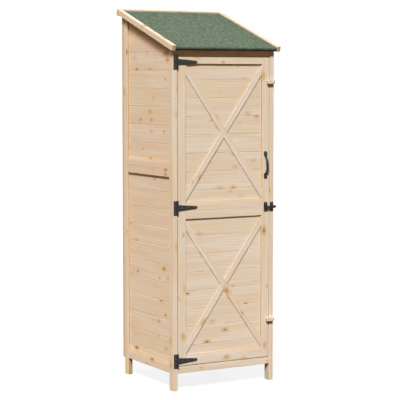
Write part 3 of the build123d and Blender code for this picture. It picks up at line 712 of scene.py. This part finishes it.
class CABINET_OT_set_stage(bpy.types.Operator):
    """White floor and surroundings, three distant lamps and the camera"""

    bl_idname = "cabinet.set_stage"
    bl_label = "Stage"

    def execute(self, context):
        scene = context.scene
        look = scene.cabinet_stage
        scene.view_settings.view_transform = "Standard"
        self.lay_floor(scene, look)
        self.light(scene, look)
        self.set_camera(scene, look)
        return {"FINISHED"}

    def lay_floor(self, scene, look):
        """A flat square floor: corners (+-reach, +-reach, 0)."""
        corners = np.array([(-1, -1, 0), (1, -1, 0), (1, 1, 0), (-1, 1, 0)]) * FLOOR_REACH
        mesh = bpy.data.meshes.new("studio_floor")
        mesh.from_pydata(corners.tolist(), [], [(0, 1, 2, 3)])
        floor = bpy.data.objects.new("studio_floor", mesh)
        scene.collection.objects.link(floor)
        material, tree, shader = new_material("white studio floor")
        seen = self.seen_directly(tree)
        tone = add_node(
            tree, "Mix", {MIX_FACTOR: seen, MIX_A: rgba(look.floor), MIX_B: WHITE}, data_type="RGBA"
        )
        tree.links.new(tone.outputs[MIX_RESULT], shader.inputs["Base Color"])
        shader.inputs["Roughness"].default_value = 0.9
        shader.inputs["Specular IOR Level"].default_value = 0.0
        white = add_node(tree, "Emission", {"Color": WHITE, "Strength": 1.0})
        share = add_node(tree, "Math", {0: seen, 1: FLOOR_GLOW}, operation="MULTIPLY")
        mixed = add_node(tree, "MixShader", {0: share.outputs[0], 1: shader.outputs[0], 2: white.outputs[0]})
        tree.links.new(mixed.outputs[0], tree.nodes["Material Output"].inputs["Surface"])
        mesh.materials.append(material)

    def seen_directly(self, tree):
        """1 for camera, glossy and transmission rays, 0 for the light that falls on things."""
        ray = add_node(tree, "LightPath")
        glossy = add_node(
            tree, "Math",
            {0: ray.outputs["Is Camera Ray"], 1: ray.outputs["Is Glossy Ray"]}, operation="MAXIMUM"
        )
        through = add_node(
            tree, "Math", {0: glossy.outputs[0], 1: ray.outputs["Is Transmission Ray"]}, operation="MAXIMUM"
        )
        return through.outputs[0]

    def light(self, scene, look):
        """White surroundings to look at, dim warm light from them, and three distant lamps."""
        world = bpy.data.worlds.new("white studio")
        scene.world = world
        world.use_nodes = True
        tree = world.node_tree
        tree.nodes.clear()
        seen = self.seen_directly(tree)
        strength = add_node(tree, "MapRange", {"Value": seen, "To Min": look.fill, "To Max": 1.0})
        tone = add_node(
            tree, "Mix", {MIX_FACTOR: seen, MIX_A: rgba(look.fill_tone), MIX_B: WHITE}, data_type="RGBA"
        )
        around = add_node(
            tree, "Background", {"Color": tone.outputs[MIX_RESULT], "Strength": strength.outputs[0]}
        )
        add_node(tree, "OutputWorld", {"Surface": around.outputs[0]})
        strengths = (look.main_strength, look.side_strength, look.back_strength)
        for energy, (name, (side, height)) in zip(strengths, LAMPS.items()):
            lamp = bpy.data.lights.new(name, "SUN")
            lamp.energy = energy
            lamp.color = look.side_tone if name == "side_lamp" else WHITE[:3]
            lamp.angle = look.lamp_spread
            holder = bpy.data.objects.new(name, lamp)
            scene.collection.objects.link(holder)
            side, height = radians(side), radians(height)
            towards = Vector((sin(side) * cos(height), -cos(side) * cos(height), sin(height)))
            holder.rotation_euler = towards.to_track_quat("Z", "Y").to_euler()

    def set_camera(self, scene, look):
        """Camera standing where the photograph was taken from, dipped a little, with no roll."""
        camera = bpy.data.cameras.new("photograph_camera")
        camera.sensor_width = SENSOR_WIDTH
        camera.lens = SENSOR_WIDTH * look.focal_pixels / IMAGE_WIDTH
        holder = bpy.data.objects.new("photograph_camera", camera)
        holder.location = look.camera_place
        holder.rotation_euler = (pi / 2 - look.camera_dip, 0.0, -look.camera_turn)
        scene.collection.objects.link(holder)
        scene.camera = holder


OPERATORS = (
    CABINET_OT_dress_sticks,
    CABINET_OT_dress_boards,
    CABINET_OT_dress_braces,
    CABINET_OT_lay_felt,
    CABINET_OT_dress_hardware,
    CABINET_OT_set_stage,
)


class CABINET_PT_looks(bpy.types.Panel):
    """Finishes and stage of the garden cabinet"""

    bl_idname = "CABINET_PT_looks"
    bl_label = "Garden cabinet"
    bl_space_type = "VIEW_3D"
    bl_region_type = "UI"
    bl_category = "Cabinet"

    def draw(self, context):
        for operator in OPERATORS:
            self.layout.operator(operator.bl_idname)
        for name, group in SETTINGS.items():
            box = self.layout.box()
            box.label(text=group.__doc__)
            for setting in group.__annotations__:
                box.prop(getattr(context.scene, name), setting)


def register():
    """Register the settings, operators and panel, and hang the settings on the scene."""
    for group in (*SETTINGS.values(), *OPERATORS, CABINET_PT_looks):
        bpy.utils.register_class(group)
    for name, group in SETTINGS.items():
        setattr(bpy.types.Scene, name, bpy.props.PointerProperty(type=group))


def unregister():
    """Undo register."""
    for name in SETTINGS:
        delattr(bpy.types.Scene, name)
    for group in reversed((*SETTINGS.values(), *OPERATORS, CABINET_PT_looks)):
        bpy.utils.unregister_class(group)


def main():
    """Dress the cabinet and set the stage."""
    register()
    bpy.ops.cabinet.dress_sticks()
    bpy.ops.cabinet.dress_boards()
    bpy.ops.cabinet.dress_braces()
    bpy.ops.cabinet.lay_felt()
    bpy.ops.cabinet.dress_hardware()
    bpy.ops.cabinet.set_stage()


if __name__ == "__main__":
    main()
